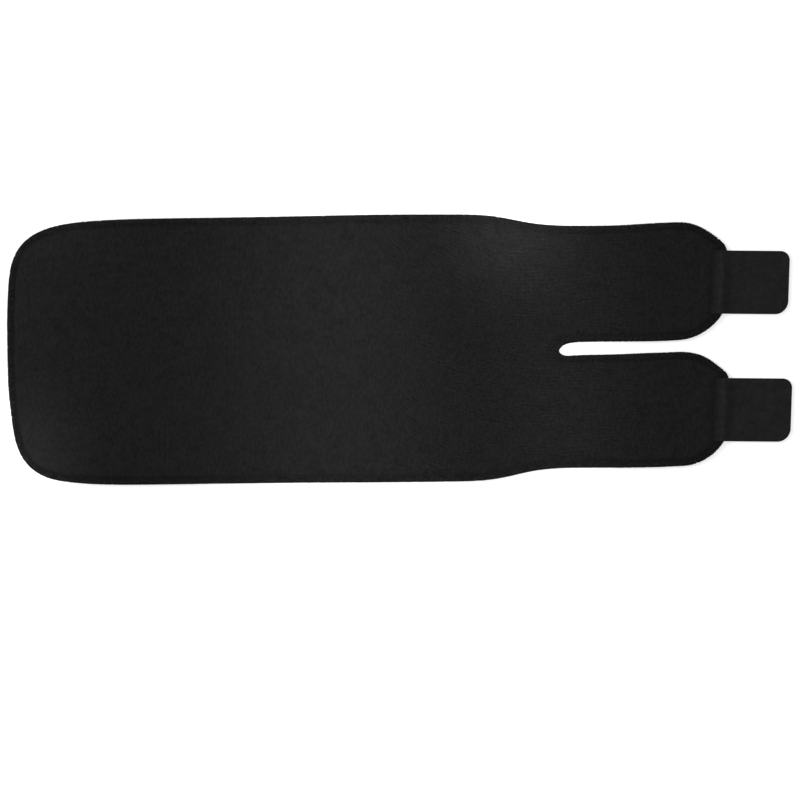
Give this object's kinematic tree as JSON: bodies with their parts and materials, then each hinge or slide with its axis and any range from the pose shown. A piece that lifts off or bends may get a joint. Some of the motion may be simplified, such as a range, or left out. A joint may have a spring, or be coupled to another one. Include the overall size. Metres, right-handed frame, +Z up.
{
  "type": "neoprene limb support wrap",
  "caption": "Flat padded limb wrap with a wide rounded body, necked shoulders, tails parted by a round-ended slot, and hook-tape tabs sewn to the tail ends.",
  "frame": {"origin": "on the table under the middle of the wrap, tabs included", "axes": "+X along the wrap from its rounded end towards the tabs, +Y towards the upper tail in the picture, +Z up, out of the outer loop face"},
  "size_m": [0.619, 0.2106, 0.0053],
  "materials": {
    "loop_pile": "matt brushed nylon loop pile, black",
    "neoprene_foam": "closed-cell foam, fine pores, matt black",
    "jersey_lining": "smooth knitted nylon jersey, black",
    "seam_thread": "soft textured polyester thread, black",
    "hook_tape": "woven nylon tape, black, low sheen",
    "hook_nylon": "stiff nylon monofilament hooks, black"
  },
  "bodies": {
    "panel": {"lining": "jersey_lining", "foam_core": "neoprene_foam", "outer_face": "loop_pile", "edge_overlock": "seam_thread", "upper_tab_sewn_end": "hook_tape", "lower_tab_sewn_end": "hook_tape"},
    "upper_tab": {"upper_tab_flap": "hook_tape", "upper_tab_hooks": "hook_nylon"},
    "lower_tab": {"lower_tab_flap": "hook_tape", "lower_tab_hooks": "hook_nylon"}
  },
  "joints": [
    {"name": "upper_tab_bend", "type": "hinge", "parent": "panel", "child": "upper_tab", "pos_m": [0.25215, 0.0505, 0.005], "axis": [0, -1, 0], "range_deg": [0, 165], "stiffness_Nm_per_rad": 0.01},
    {"name": "lower_tab_bend", "type": "hinge", "parent": "panel", "child": "lower_tab", "pos_m": [0.25215, -0.0505, 0.005], "axis": [0, -1, 0], "range_deg": [0, 165], "stiffness_Nm_per_rad": 0.01}
  ]
}
